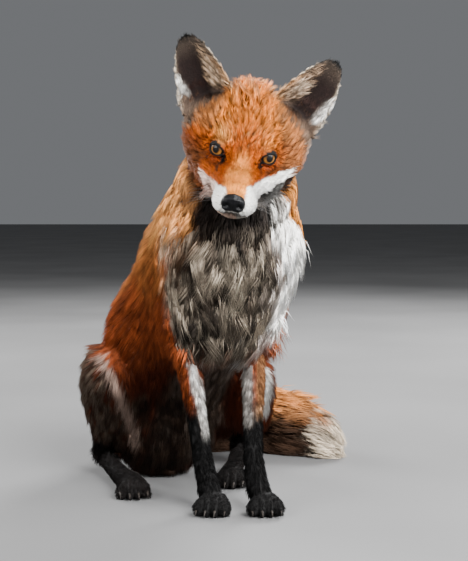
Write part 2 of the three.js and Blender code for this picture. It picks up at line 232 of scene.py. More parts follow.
LEGS = {
    "left": dict(elbow=at(22, 66, 180), wrist=at(22, 38, 52), heel=at(27, 30, 24), paw=at(34, 18, 12),
                 ahead=(0.08, -1, 0)),
    "right": dict(elbow=at(-52, 44, 180), wrist=at(-34, 34, 52), heel=at(-28, 30, 24), paw=at(-23, 18, 12),
                  ahead=(-0.12, -1, 0)),
}
HIND_LEGS = {
    "left": dict(knee=on_body(93, 143, 128), calf=on_body(111, 160, 78), hock=on_body(108, 194, 26),
                 paw=on_body(48, 96, 12), ahead=(-0.1, -0.99, 0)),
    "right": dict(knee=on_body(-81, 144, 134), calf=on_body(-77, 183, 80), hock=on_body(-72, 222, 26),
                  paw=on_body(-80, 98, 12), ahead=(0.14, -0.99, 0)),
}
TAIL = [
    (on_body(-14, 274, 66), 30),
    (at(-98, 342, 48), 42),
    (at(-48, 382, 46), 47),
    (at(18, 386, 47), 48),
    (at(76, 362, 42), 43),
    (at(112, 336, 31), 31),
    (at(132, 322, 18), 16),
]


def lies():
    rows = [
        Lie("face", on_head(0, -62, -27), on_head(0, -22, -19), 19, None, MUZZLE),
        Lie("face", on_head(0, -55, -41), on_head(0, 0, -40), 13, None, CHIN),
        Lie("face", on_head(0, -2, 4), on_head(0, 18, 14), 28, None, BROW),
        Lie("head", on_head(0, 42, 18), on_head(0, 68, 12), 42, None, CROWN),
        Lie("neck", at(5, 22, 378), at(-5, 44, 330), 68, body_way(0, 0.35, -0.9), NECK),
        Lie("chest", on_body(0, 6, 300), on_body(0, 14, 236), 68, body_way(0, 0.05, -1), RUFF),
        Lie("back", on_body(0, 62, 294), on_body(0, 98, 236), 76, body_way(0, 0.45, -0.75), BACK),
        Lie("back", on_body(0, 98, 236), on_body(0, 154, 180), 84, body_way(0, 0.5, -0.7), BACK),
        Lie("back", on_body(0, 154, 180), on_body(0, 206, 97), 88, body_way(0, 0.45, -0.8), BACK),
        Lie("flanks", on_body(0, 40, 205), on_body(0, 140, 120), 52, body_way(0, 0.3, -0.9), BELLY),
    ]
    for name, s in SIDES.items():
        foot, long, along, across, _ = ear_axes(s)
        leg, hind = LEGS[name], HIND_LEGS[name]
        middle = (leg["elbow"] + leg["wrist"]) / 2
        ahead, hind_ahead = unit(leg["ahead"]), unit(hind["ahead"])
        hip = on_body(s * 47, 206, 122)
        seat = on_body(s * 50, 206, 76)
        ham = hind["calf"] + (hind["knee"] - hind["calf"]) * 0.3
        shin = (hind["calf"] + hind["hock"]) / 2
        for aside in (-19, 2, 21):
            root, high = foot + across * aside, foot + across * (aside * 0.6)
            rows += [
                Lie("ears", root - along * 6, root + along * 14, 21, along, EAR_BASE),
                Lie("ears", root + along * 24, high + along * (long - abs(aside) * 0.8), 21, along, EAR),
            ]
        rows += [
            Lie("face", on_head(s * 22, -8, -18), on_head(s * 30, 8, -20), 17, None, UNDER_EYE),
            Lie("head", on_head(s * 36, 38, -12), on_head(s * 40, 58, 2), 31, None, CHEEK),
            Lie("head", on_head(s * 14, 16, -30), on_head(s * 30, 24, -28), 25, None, JOWL),
            Lie("flanks", on_body(s * 42, 40, 262), on_body(s * 42, 60, 190), 42,
                body_way(0, 0.25, -0.95), SIDE),
            Lie("haunches", hip, hind["knee"], 46, body_way(0, 0.2, -1), HAUNCH),
            Lie("haunches", hip, on_body(s * 76, 167, 152), 42, body_way(0, 0.3, -0.95), HAUNCH),
            Lie("haunches", seat, ham, 40, body_way(0, 0.3, -0.95), HAUNCH),
            Lie("legs", hind["knee"], hind["calf"], 25, hind["calf"] - hind["knee"], SHANK),
            Lie("legs", hind["calf"], shin, 19, hind["hock"] - hind["calf"], SHANK),
            Lie("legs", hind["hock"], hind["paw"], 14, hind["paw"] - hind["hock"], LEG),
            Lie("paws", hind["paw"] - hind_ahead * 8, hind["paw"] + hind_ahead * 16, 15, hind_ahead, PAW),
            Lie("legs", leg["elbow"], middle, 17, DOWN, UPPER_LEG),
            Lie("legs", middle, leg["wrist"], 12.5, DOWN, LEG),
            Lie("legs", leg["wrist"], leg["heel"], 14, DOWN, LEG),
            Lie("legs", leg["heel"], leg["paw"], 12, DOWN, LEG),
            Lie("paws", leg["paw"] - ahead * 8, leg["paw"] + ahead * 16, 15, ahead, PAW),
        ]
    for (a, ra), (b, rb) in zip(TAIL, TAIL[1:]):
        reach = (ra + rb) / 2
        brush = Coat(reach * 0.34, reach * 0.85, 1.1, 0.3, 0.4)
        rows.append(Lie("tail", a, b, reach, b - a, brush))
    return rows


LIES = lies()
PATCHES = ("face", "head", "ears", "neck", "chest", "back", "flanks", "haunches", "legs", "paws", "tail")

# The skull's flesh as eggs in the head's own axes: the centre and radii of each.
HEAD_EGGS = [((0, 51, 9), (50, 50, 46)), ((0, 18, -30), (46, 42, 26)), ((0, 16, 9), (36, 18, 18)),
             ((0, -20, -28), (27, 46, 25)), ((0, -50, -31), (28, 30, 21))]
for s in SIDES.values():
    HEAD_EGGS += [((s * 35.5, 40, -12), (30, 32, 32)), ((s * 41, 60, 8), (24, 26, 27))]


def off_head(points):
    """0 on the skull's flesh and 1 on the neck's."""
    h = in_head(points)
    off = [np.linalg.norm((h - centre) / radii, axis=1) for centre, radii in np.array(HEAD_EGGS)]
    return ramp(1.06, 1.22, np.min(off, axis=0))


def coat_at(points):
    """The patch, the way the hair runs and each measure of the coat at every point."""
    ways = np.zeros((len(points), 3))
    measures = np.zeros((len(points), len(Coat._fields)))
    patch = np.zeros(len(points), int)
    best = np.zeros(len(points))
    total = np.zeros(len(points))
    off = off_head(points)
    for lie in LIES:
        weight = (lie.reach / (to_line(points, lie.start, lie.end) + 1)) ** 7
        if lie.patch in ("neck", "chest"):
            weight = weight * off
        elif lie.patch in ("face", "head"):
            weight = weight * (1 - 0.9 * off)
        way = unit(points - NOSE) if lie.way is None else unit(lie.way)
        ways += weight[:, None] * way
        measures += weight[:, None] * np.array(lie.coat)
        total += weight
        nearer = weight > best
        patch[nearer] = PATCHES.index(lie.patch)
        best = np.maximum(best, weight)
    coat = dict(zip(Coat._fields, (measures / total[:, None]).T))
    for s in SIDES.values():  # hair parts round the eye and is short beside it
        away = points - eye_centre(s)
        near = ramp(21, 11, np.linalg.norm(away, axis=1))
        ways = unit(ways) + unit(away) * (2.2 * near)[:, None]
        for measure, share in (("length", 0.5), ("depth", 0.55), ("width", 0.3)):
            coat[measure] = coat[measure] * (1 - share * near)
    return patch, unit(ways), coat


# ---- markings, with painted light and shade

RUST, RUST_DEEP = (0.46, 0.102, 0.030), (0.110, 0.025, 0.010)
ORANGE, GOLD, PEACH = (0.47, 0.094, 0.004), (0.66, 0.225, 0.030), (1.0, 0.345, 0.058)
RED = (0.36, 0.050, 0.003)
UMBER, SOOT, INK = (0.068, 0.028, 0.013), (0.009, 0.0085, 0.0085), (0.004, 0.004, 0.004)
CREAM, WHITE, GREY = (0.86, 0.72, 0.55), (1.0, 0.97, 0.91), (0.25, 0.205, 0.17)
TAN = (0.50, 0.255, 0.105)
PALE_TIP = (0.95, 0.50, 0.20)

# From each eye's inner corner down to the muzzle, in the eye's own axes.
TEAR_LINES = {1: ((-8, -1, 0), (-11, -5, 0), (-14, -12, 0)), -1: ((-7, 2, 0), (-10.5, -5, 0), (-12, -14, 0))}


def head_markings_and_painted_light(paint, h):
    side, back, up = h.T
    wide = np.abs(side)
    blur = ragged(h, (4, 6, 3), (4, 2.5, 4))
    paint(ORANGE, 0.95)
    paint(GOLD, 0.45 * ramp(6, 30, up) * ramp(6, 28, wide + blur))
    paint(GOLD, 0.5 * hump(up, 14, 9) * hump(wide, 27, 19) * ramp(24, 4, back))
    # A bright gold patch over the fox's right brow only: painted light on that side.
    paint((1.0, 0.42, 0.100), 0.85 * hump(up, 17, 13) * hump(side, -26, 18) * ramp(28, 4, back))
    paint((0.80, 0.27, 0.040), 0.3 * ramp(20, 38, up) * ramp(30, 12, wide))
    paint((0.42, 0.072, 0.006), 0.5 * hump(up, 8, 20) * ramp(22, 6, wide + blur))
    paint(RED, 0.85 * hump(up, -9, 14) * hump(wide, 29, 17))
    # The outer edges of the face below the eyes are darker, deepest on the fox's right: partly browner cheek
    # fur, partly painted shade.
    outer = ramp(37, 52, wide) * ramp(12, -6, up + blur) * (side < 0)
    paint((0.105, 0.022, 0.006), 0.9 * outer)
    outer = ramp(34, 50, wide + blur) * ramp(26, 4, up + blur) * (side > 0)
    paint((0.20, 0.080, 0.028), 0.8 * outer)
    half = np.interp(back, (-60, -40, -15, 0), (15, 13, 8.5, 5))
    paint(PEACH, 0.88 * ramp(5, -5, wide - half + blur * 0.9) * ramp(-8, -26, back))
    paint(UMBER, 0.6 * ramp(0.62, 0.80, mottle(h, 3.2, 8)) * ramp(-2, 8, up) * ramp(34, 18, wide))
    for s in SIDES.values():
        band = to_line(h, (s * 28, -12, -12.0), (s * 46, 8, -12.5))
        paint(UMBER, (0.75 if s > 0 else 0.5) * ramp(6, 2, band + blur * 0.5))
    top_right = np.interp(back, (-62, -46, -21, -8, 4, 13, 24), (-14, -19, -26, -28, -28, -24, -18))
    top_left = np.interp(back, (-58, -47, -30, -13, -1, 7, 12, 24),
                         (-10, -12, -15, -17, -18, -16.5, -15.5, -16))
    top = np.where(side > 0, top_left, top_right)
    foot = np.interp(back, (-46, -15, -12, -2, 12, 23), (-60, -40, -35, -30, -28, -26))
    white = ramp(1.5, -1.5, up - top + blur * 0.6) * ramp(9, 12, wide + ramp(-22, -30, up) * 20)
    white = white * np.where(side > 0, ramp(26, 17, back + blur), ramp(10, -2, back + blur))
    dark = ramp(2, -2, up - foot + blur) * ramp(-40, -26, back)
    beside = ramp(0, 12, back + blur) * ramp(-2, -12, up + blur) * (side < 0)
    paint(WHITE, white)
    paint((0.72, 0.42, 0.31), 0.7 * white * (side < 0) * ramp(-46, -30, back))
    # Near black under the jaw on the fox's left: partly dark hair, partly painted shade.
    paint(SOOT, 0.92 * dark * (side > 0) * ramp(60, 40, back))
    # Dark brown low on the back of the fox's right cheek: painted shade under the cheek.
    paint((0.15, 0.050, 0.018), 0.9 * beside)
    for s in SIDES.values():
        foot = np.linalg.norm(h - (s * 47, 42, 28), axis=1)
        paint((0.34, 0.135, 0.045), 0.75 * ramp(34, 24, foot + blur))
    below = -40 - 0.1 * (back + 60) - up
    chin = ramp(-0.5, 0.8, below + blur * 0.3) * ramp(6, -12, back)
    # The chin: warm on the fox's right, a painted rim light, and grey on its left, painted shade.
    paint(np.where((side < 4)[:, None], (0.62, 0.36, 0.24), GREY), 0.75 * chin)
    # A dark line along the mouth and down the groove under the nose: partly the black lips, partly painted
    # shade in creases that the skin does not have.
    mouth = ramp(1.8, 0.7, np.abs(below)) * ramp(-4, -12, back)
    split = ramp(1.4, 0.6, np.abs(side + 1)) * ramp(-30, -33, up) * ramp(-58, -62, back)
    paint(INK, 0.85 * np.maximum(mouth, split * (below < 1)))


def on_ear(points, s):
    """Shares of an ear's length and half width, towards the crown, and how surely each point is on it."""
    foot, long, along, across, front = ear_axes(s)
    q = points - foot
    v = q @ along / long
    inner = (q @ across - EAR_INWARD) / EAR_HALF
    deep = q @ front
    mine = (np.abs(inner) < 1.2) & (deep > -26) & (deep < 20) & (in_head(points)[:, 0] * s > 8)
    return v, inner, mine


def ear_markings_and_painted_highlight(paint, points, n):
    for s in SIDES.values():
        _, _, along, _, front = ear_axes(s)
        v, inner, mine = on_ear(points, s)
        inside = ramp(-0.25, 0.25, n @ front + 1.2 * np.maximum(n @ along, 0) * ramp(0.45, 0.2, v))
        blur = ragged(points, (0.16, 5, 31))
        low = np.interp(inner, (-0.9, -0.3, 0.3, 1), (-0.3, -0.10, -0.03, 0.06))
        here = mine * ramp(0, 0.14, v - low + blur)
        back = toward(np.tile(SOOT, (len(points), 1)), (0.17, 0.070, 0.026), ramp(0.36, 0.08, v + blur))
        cup = Paint(np.tile((0.150, 0.100, 0.070), (len(points), 1)))
        cup((0.085, 0.062, 0.046), ramp(0.5, 0.75, v))
        middle = ramp(0.66, 0.22, np.abs(inner + 0.24 + blur)) * ramp(0.92, 0.6, v) * ramp(0.0, 0.14, v)
        cup((0.020, 0.010, 0.008), middle)
        cup((0.24, 0.13, 0.065), 0.75 * ramp(0.3, 0.8, inner + blur) * ramp(0.8, 0.4, v))
        low, high = (0.12, 0.56) if s > 0 else (0.17, 0.42)
        white = ramp(high, high - 0.15, v + blur) * ramp(low, low + 0.12, v + blur)
        cup(WHITE, 0.9 * (hump(inner, -0.75, 0.25) * white))
        both = Paint(toward(back, cup.colours, inside))
        rim = ramp(0.80, 0.97, np.abs(inner) / np.sqrt(np.clip(1 - np.clip(v, 0, 1) ** 1.5, 0.02, 1)))
        # A cream line round the ear's rim: a painted highlight.
        both(CREAM, 0.75 * rim * ramp(0.85, 0.7, v) * ramp(-0.05, 0.2, v))
        both(TAN, 0.8 * ramp(0.55, 0.85, inner) * ramp(0.65, 0.35, v))
        both(INK, ramp(0.86, 0.97, v + 0.1 * rim))
        paint(both.colours, here)


def trunk_markings_and_painted_shade(paint, w, b):
    blur = ragged(w, (7, 14, 1), (6, 6, 2))
    turn = np.degrees(np.arctan2(b[:, 0], 45 - b[:, 1]))
    edge = turn + blur
    z = w[:, 2]
    axis = np.interp(z, (300, 330, 378, 420), (60, 2, -22, -42))
    ahead = ramp(12, -6, b[:, 1] - axis)
    high = z + blur
    paint(RUST_DEEP, 0.6 * ramp(0.5, 0.85, mottle(w, 34, 5)) * ramp(60, 100, np.abs(turn)))
    paint((0.72, 0.27, 0.070), 0.72 * ramp(212, 272, high) * ramp(0.85, 0.4, mottle(w, 26, 13)))
    # The lower body drawn towards deep rust, darker towards the bottom: painted shade.
    paint(RUST_DEEP, 0.94 * ramp(198, 128, high))
    behind = ramp(80, 135, np.abs(turn))
    tawny = 0.9 * ramp(285, 320, high + 12 * behind) * (1 - 0.6 * behind)
    paint((0.92, 0.41, 0.130), tawny)
    left = np.interp(z, (182, 191, 205, 249, 266, 280, 294, 302, 310, 321, 342, 363),
                     (-51, -57, -61, -63, -62, -57, -52, -44, -38, -33, -32, -39))
    right = np.interp(z, (182, 204, 233, 267, 294, 321, 342, 358), (25, 21, 19, 15, 9, 3, 0, 5))
    gold = np.interp(z, (183, 235, 298, 309, 320, 331, 342, 356), (48, 52, 54, 46, 28, 20, 17, 15))
    bib = ramp(-4, 4, edge - left) * ramp(4, -4, edge - right) * ramp(164, 180, high) * ahead
    paint((0.140, 0.108, 0.082), bib)
    paint((0.016, 0.013, 0.011), 0.93 * bib * ramp(0.38, 0.60, mottle(w * (1.5, 1.5, 0.5), 12, 14)))
    # The bib darker towards the bottom: painted shade of the lower body.
    paint(SOOT, 0.45 * bib * ramp(222, 188, high))
    paint((0.30, 0.150, 0.075), 0.6 * bib * ramp(22, 6, edge - left) * ramp(240, 300, z))
    paint(GREY, 0.55 * bib * ramp(-14, 0, edge - right) * ramp(335, 315, z))
    flash = ramp(-3, 3, edge - right) * ramp(3, -3, edge - gold) * ramp(176, 196, high) * ahead
    paint(WHITE, flash)
    # Grey streaks over the top of the white flash, under the cheek: partly grey hair, partly painted shade.
    paint(GREY, 0.65 * flash * ramp(308, 336, z) * ramp(0.2, 0.6, mottle(w, 7, 15)))
    beside = ramp(-3, 5, edge - gold)
    paint(GOLD, 0.75 * beside * hump(edge - gold, 8, 26) * ramp(285, 318, high))
    paint((0.46, 0.105, 0.012), 0.65 * beside * hump(edge - gold, 4, 30) * ramp(300, 270, high))
    paint(CREAM, 0.75 * hump(edge, 5, 12) * hump(high, 212, 24))
    pale = hump(edge, -57, 15) * hump(high, 299, 17) + 0.5 * hump(edge, -66, 7) * hump(z, 245, 45)
    paint(CREAM, 0.95 * pale)
    # Umber on the neck just under the fox's right cheek: painted shade under the head.
    nearby = ramp(-62, -44, edge) * ramp(-20, -34, edge) * ramp(318, 345, high) * ahead
    paint(UMBER, 0.75 * nearby)
    # Near black on the throat under the chin: partly dark throat fur, partly painted shade under the head.
    throat = ramp(-44, -32, edge) * ramp(13, 6, edge) * ramp(284, 312, high) * ahead
    paint((0.012, 0.009, 0.008), 0.97 * throat)
    below = ramp(178, 162, high) * ramp(-46, -30, b[:, 0] + blur) * ramp(66, 50, b[:, 0] + blur)
    streaks = ramp(0.5, 0.7, mottle(w * (1.6, 1.6, 0.5), 12, 17))[:, None]
    inner = np.array((0.110, 0.080, 0.060)) + streaks * (0.16, 0.13, 0.11)
    paint(inner, 0.92 * below * ramp(190, 150, b[:, 1]))


def to_path(points, *corners):
    """How far points are, seen from the front, from a bent line of pairs of x and z."""
    flat = points * (1, 0, 1)
    corners = np.array([(x, 0, z) for x, z in corners], float)
    return np.min([to_line(flat, a, b) for a, b in zip(corners, corners[1:])], axis=0)


def leg_markings_and_painted_shade(paint, w, n, patch):
    x, y, z = w.T
    blur = ragged(w, (6, 8, 6), (7, 3.5, 7))
    leg = is_one(patch, "legs", "paws")
    fore = leg & (y < 72)
    left = x > -6
    paint(RUST, 0.7 * fore * ramp(100, 130, z))
    inner = np.where(left, ramp(15, 8, x), ramp(-38, -30, x))
    paint(SOOT, 0.85 * fore * inner)
    streak_right = to_path(w, (-48, 178), (-43, 148), (-36, 125), (-31, 100), (-28, 85))
    streak_left = to_path(w, (11, 178), (13, 145), (14, 123), (13, 98))
    pale = np.where(left, ramp(10, 5, streak_left + blur * 0.5), ramp(8.5, 4, streak_right + blur * 0.5))
    paint(np.where(left[:, None], (0.52, 0.49, 0.45), WHITE), 0.9 * pale * (fore | ((y < 72) & (z < 168))))
    paint(TAN, 0.6 * fore * left * ramp(23, 29, x))
    ankle = np.where(left, 104, 112)
    paint(SOOT, fore * ramp(8, -8, z - ankle + blur) * (1 - 0.8 * pale * ramp(76, 92, z)))
    hind = leg & ~fore
    # The hind legs darker, then near black, towards the ground: partly the fox's dark stockings, partly
    # painted shade.
    paint(UMBER, 0.7 * hind * ramp(95, 60, z + blur))
    paint(SOOT, 0.97 * hind * ramp(66, 44, z + blur))
    places = ((-118, 12), (-121, 34), (-124, 58), (-125, 78), (-130, 96), (-135, 115), (-140, 131),
              (-148, 146), (-160, 160))
    stripe = to_path(w, *places)
    line = np.interp(z, [p[1] for p in places], [p[0] for p in places])
    rump = (x < -60) & (y > 72)
    # The outer haunch and the lower rump darker, in patches: partly the fox's dark haunch fur, partly
    # painted shade of the lower body.
    haunch_dark_and_shade = rump * ramp(0, -10, x - line + blur * 0.5) * ramp(205, 165, z + blur)
    haunch_dark_and_shade = np.maximum(haunch_dark_and_shade, rump * ramp(128, 100, z + blur)) * (1 - leg * ramp(66, 44, z + blur))
    paint((0.050, 0.029, 0.020), 0.9 * haunch_dark_and_shade * ramp(0.1, 0.45, mottle(w, 9, 9)))
    paint((0.66, 0.47, 0.38), 0.9 * ramp(9, 4, stripe + blur * 0.5) * rump * (y < 215) * ramp(36, 48, z))
    knee_left = to_line(w, (44, 190, 122), (48, 204, 92))
    knee_left = ramp(26, 14, knee_left + blur) * (x > 20) * ramp(62, 50, x)
    paint(WHITE, 0.9 * knee_left * ramp(-0.2, -0.6, n[:, 1]))


def tail_markings_and_painted_shade(paint, w, patch):
    tail = is_one(patch, "tail")
    blur = ragged(w, (14, 9, 11))
    paint((0.47, 0.205, 0.080), 0.9 * tail)
    paint(GOLD, 0.4 * tail * ramp(56, 80, w[:, 2] + blur))
    paint(UMBER, 0.45 * tail * ramp(0.5, 0.75, mottle(w, 20, 10)))
    # The underside of the tail near black: painted shade.
    paint((0.016, 0.011, 0.009), 0.95 * tail * ramp(68, 38, w[:, 2] + blur))
    end = to_line(w, (120, 330, 26), (150, 312, 12))
    paint((0.66, 0.55, 0.42), 0.9 * tail * ramp(40, 26, end + blur))


def markings(points, n, patch):
    """The colour of the coat's outer hair over each point of the skin, with painted light and shade."""
    w, h, b = points - SHIFT, in_head(points), in_body(points)
    paint = Paint(np.tile(RUST, (len(points), 1)))
    trunk_markings_and_painted_shade(paint, w, b)
    leg_markings_and_painted_shade(paint, w, n, patch)
    tail_markings_and_painted_shade(paint, w, patch)
    face = Paint(paint.colours)
    head_markings_and_painted_light(face, h)
    paint(face.colours, is_one(patch, "face", "head", "ears") * ramp(88, 70, h[:, 1] - 0.4 * h[:, 2]))
    ear_markings_and_painted_highlight(paint, points, n)
    for s in SIDES.values():
        u, v, out = in_eye(points, s).T
        rough = ragged(h, (1.2, 2, 12))
        flat = np.column_stack((u, v, np.where(out > 0, 0, 99)))
        ring = np.hypot(np.hypot(u / 1.3, (v - 0.4) * 1.1), flat[:, 2])
        inmost, corner, end = TEAR_LINES[s]
        tear, streak = to_line(flat, inmost, corner), to_line(flat, corner, end)
        paint(UMBER, (0.85 if s < 0 else 0.5) * ramp(4.2, 1.5, streak + rough))
        paint(INK, np.maximum(ramp(8.8, 7.4, ring + rough), ramp(3.6, 2.0, tear + rough)))
    return paint.colours


# ---- finishes

IRIS = 6.9  # the radius of the iris and the dark ring round it


class Value:
    """A socket of a finish. Arithmetic on it adds Math nodes."""

    def __init__(self, finish, socket):
        self.finish, self.socket = finish, socket

    def _math(self, operation, first, second):
        return self.finish.node("Math", {"operation": operation}, {0: first, 1: second})

    def __add__(self, other):
        return self._math("ADD", self, other)

    def __rsub__(self, other):
        return self._math("SUBTRACT", other, self)

    def __mul__(self, other):
        return self._math("MULTIPLY", self, other)

    def __truediv__(self, other):
        return self._math("DIVIDE", self, other)

    def root(self):
        return self.finish.node("Math", {"operation": "SQRT"}, {0: self})


class Finish:
    """A material whose shader is set by name and whose other nodes are added by kind."""

    def __init__(self, name, **constants):
        self.material = bpy.data.materials.new(name)
        self.material.use_nodes = True
        self.tree = self.material.node_tree
        self.shader = self.tree.nodes["Principled BSDF"]
        self.set(**constants)

    def _fill(self, socket, value):
        if isinstance(value, Value):
            self.tree.links.new(value.socket, socket)
        else:
            socket.default_value = value

    def node(self, kind, settings=None, inputs=None, output=0):
        node = self.tree.nodes.new("ShaderNode" + kind)
        for key, value in (settings or {}).items():
            setattr(node, key, value)
        for key, value in (inputs or {}).items():
            self._fill(node.inputs[key], value)
        return Value(self, node.outputs[output])

    def set(self, **values):
        for name, value in values.items():
            self._fill(self.shader.inputs[name.replace("_", " ")], value)
        return self

    def attribute(self, name, output="Color"):
        return self.node("Attribute", {"attribute_name": name}, output=output)

    def noise(self, scale, detail=3, place=None):
        inputs = {"Scale": scale, "Detail": detail}
        inputs["Vector"] = place or self.node("TexCoord", output="Object")
        return self.node("TexNoise", inputs=inputs)

    def shades(self, value, *stops):
        """Colours at some places along a value, blended between them."""
        shades = self.node("ValToRGB", inputs={"Fac": value})
        elements = shades.socket.node.color_ramp.elements
        while len(elements) < len(stops):
            elements.new(0.5)
        for element, (place, colour) in zip(elements, stops):
            element.position, element.color = place, (*colour, 1)
        return shades

    def step(self, value, low, high, first=0.0, last=1.0):
        inputs = {"Value": value, "From Min": low, "From Max": high, "To Min": first, "To Max": last}
        return self.node("MapRange", {"interpolation_type": "SMOOTHSTEP"}, inputs)

    def tint(self, colour, shade, share):
        settings = {"data_type": "RGBA", "blend_type": "MULTIPLY"}
        return self.node("Mix", settings, {"Factor": share, 6: colour, 7: shade}, output=2)

    def bump(self, height, depth, strength=1.0):
        normal = self.node("Bump", inputs={"Height": height, "Distance": depth, "Strength": strength},
                           output="Normal")
        return self.set(Normal=normal)


def coat_finish():
    """Hair: the markings with their painted light and shade, and a soft gloss along it."""
    finish = Finish("coat hair", Roughness=0.6, Specular_IOR_Level=0.06)
    return finish.set(Base_Color=finish.attribute("coat")).material


def skin_finish():
    """The under coat, as fine bump, over the same markings with their painted light and shade."""
    finish = Finish("under coat", Roughness=0.8, Specular_IOR_Level=0.15)
    grain = finish.noise(900, 4)
    shade = finish.shades(grain, (0.3, (0.45, 0.42, 0.40)), (0.7, (1, 1, 1)))
    finish.set(Base_Color=finish.tint(finish.attribute("coat"), shade, 1.0))
    return finish.bump(grain, 0.0008).material


def nose_finish():
    """Damp leather, finely pebbled."""
    finish = Finish("nose leather", Base_Color=(0.0015, 0.0015, 0.002, 1), Specular_IOR_Level=0.14)
    place = finish.node("TexCoord", output="Object")
    pebbles = finish.node("TexVoronoi", inputs={"Vector": place, "Scale": 1100.0}, output="Distance")
    finish.set(Roughness=pebbles * 0.2 + 0.24)
    return finish.bump(1 - pebbles, 0.0004, 0.6).material


def eye_finish():
    """A dark upright pupil in an amber iris with fine rays, darker at the top as painted shade of the lid,
    inside a dark ring, under a clear coat.
    """
    finish = Finish("eye", Roughness=0.5, Specular_IOR_Level=0.1, Coat_Weight=0.25, Coat_Roughness=0.02)
    parts = finish.node("SeparateXYZ", inputs={0: finish.attribute("eye place", "Vector")})
    x, y = (Value(finish, socket) for socket in parts.socket.node.outputs[:2])
    from_axis = (x * x + y * y).root()
    angle = finish.node("Math", {"operation": "ARCTAN2"}, {0: y, 1: x})
    ray_place = finish.node("CombineXYZ", inputs={0: angle * 7.0, 1: from_axis * 0.5})
    rays = finish.noise(1.6, 4, ray_place)
    rays = finish.shades(rays, (0.35, (0.6, 0.55, 0.5)), (0.62, (1.2, 1.15, 1.1)))
    rings = finish.shades(
        from_axis / IRIS,
        (0.0, (0.06, 0.020, 0.004)),
        (0.52, (0.115, 0.040, 0.007)),
        (0.72, (0.30, 0.130, 0.024)),
        (0.86, (0.20, 0.080, 0.016)),
        (0.95, (0.006, 0.004, 0.003)),
    )
    iris = finish.tint(rings, rays, 1.0)
    # The iris darker towards the top: painted shade of the upper lid.
    painted_lid_shade = finish.step(y, -4.5, 4.0, 1.15, 0.08)
    iris = finish.tint(iris, painted_lid_shade, 1.0)
    pupil = finish.step((x * x * 1.3 + y * y).root(), 3.6, 4.1)
    inputs = {"Factor": pupil, 6: (0.001, 0.001, 0.001, 1), 7: iris}
    return finish.set(Base_Color=finish.node("Mix", {"data_type": "RGBA"}, inputs, 2)).material


def claw_finish():
    finish = Finish("claw horn", Roughness=0.65, Specular_IOR_Level=0.15)
    shade = finish.shades(finish.noise(300, 3), (0.3, (0.008, 0.007, 0.006)), (0.7, (0.030, 0.024, 0.020)))
    return finish.set(Base_Color=shade).bump(finish.noise(1500, 2), 0.0002).material


# ---- meshes as arrays


def read(items, key, width=3, kind=float):
    """One property of a mesh's items, as the rows of an array."""
    values = np.empty(len(items) * width, kind)
    items.foreach_get(key, values)
    return values.reshape(-1, width)


def places_of(mesh):
    return read(mesh.vertices, "co") / MM


def normals_of(mesh):
    return read(mesh.vertices, "normal")


def move_to(mesh, places):
    mesh.vertices.foreach_set("co", (places * MM).ravel())
    mesh.update()


def give_colours(mesh, name, colours):
    layer = mesh.color_attributes.new(name, "FLOAT_COLOR", "POINT")
    layer.data.foreach_set("color", np.column_stack((colours, np.ones(len(colours)))).ravel())


def dress(mesh, material):
    mesh.materials.clear()
    mesh.materials.append(material)


def made_object(name, vertices, faces):
    mesh = bpy.data.meshes.new(name)
    mesh.from_pydata(vertices * MM, [], faces)
    made = bpy.data.objects.new(name, mesh)
    bpy.context.scene.collection.objects.link(made)
    mesh.shade_smooth()
    return made


def alone(made):
    """Selects one object and makes it the active one."""
    bpy.ops.object.select_all(action="DESELECT")
    made.select_set(True)
    bpy.context.view_layer.objects.active = made
    return made


def edited(made, tool, **settings):
    """Uses one of the mesh tools on the whole of an object's mesh."""
    alone(made)
    bpy.ops.object.mode_set(mode="EDIT")
    bpy.ops.mesh.select_all(action="SELECT")
    tool(**settings)
    bpy.ops.object.mode_set(mode="OBJECT")


def recalculate(made):
    edited(made, bpy.ops.mesh.normals_make_consistent, inside=False)


def primitive(name, tool, **settings):
    bpy.ops.object.select_all(action="DESELECT")
    tool(**settings)
    made = bpy.context.object
    made.name = made.data.name = name
    return made


def apply(made, kind, **settings):
    alone(made)
    modifier = made.modifiers.new(kind.lower(), kind)
    for key, value in settings.items():
        setattr(modifier, key, value)
    bpy.ops.object.modifier_apply(modifier=modifier.name)


WELD = 0.00002
ROUNDS = 14


def solid_copy(name, nodes):
    """The solids of some nodes, welded and joined in one new object."""
    copies = []
    for node in nodes:
        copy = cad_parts[node].copy()
        copy.data = copy.data.copy()
        copy.parent = None
        for key in list(copy.keys()):
            del copy[key]
        bpy.context.scene.collection.objects.link(copy)
        edited(copy, bpy.ops.mesh.remove_doubles, threshold=WELD)
        copies.append(copy)
    for copy in copies:
        copy.select_set(True)
    bpy.context.view_layer.objects.active = copies[0]
    if len(copies) > 1:
        bpy.ops.object.join()
    copies[0].name = copies[0].data.name = name
    return copies[0]


class Net:
    """The edges of a mesh, for drawing each point towards its neighbours."""

    def __init__(self, mesh):
        edges = read(mesh.edges, "vertices", 2, int)
        self.a, self.b = edges.T
        self.count = len(mesh.vertices)
        self.degree = np.bincount(edges.ravel(), minlength=self.count)

    def mean(self, values):
        total = np.empty_like(values)
        for k in range(values.shape[1]):
            total[:, k] = np.bincount(self.a, values[self.b, k], self.count)
            total[:, k] += np.bincount(self.b, values[self.a, k], self.count)
        return total / np.maximum(self.degree, 1)[:, None]

    def relax(self, values, share):
        return values + share * (self.mean(values) - values)

    def smoothed(self, places):
        """Takes the steps out of a remeshed surface, and leaves its size as it is."""
        for _ in range(ROUNDS):
            places = self.relax(self.relax(places, 0.5), -0.52)
        return places


# ---- skin

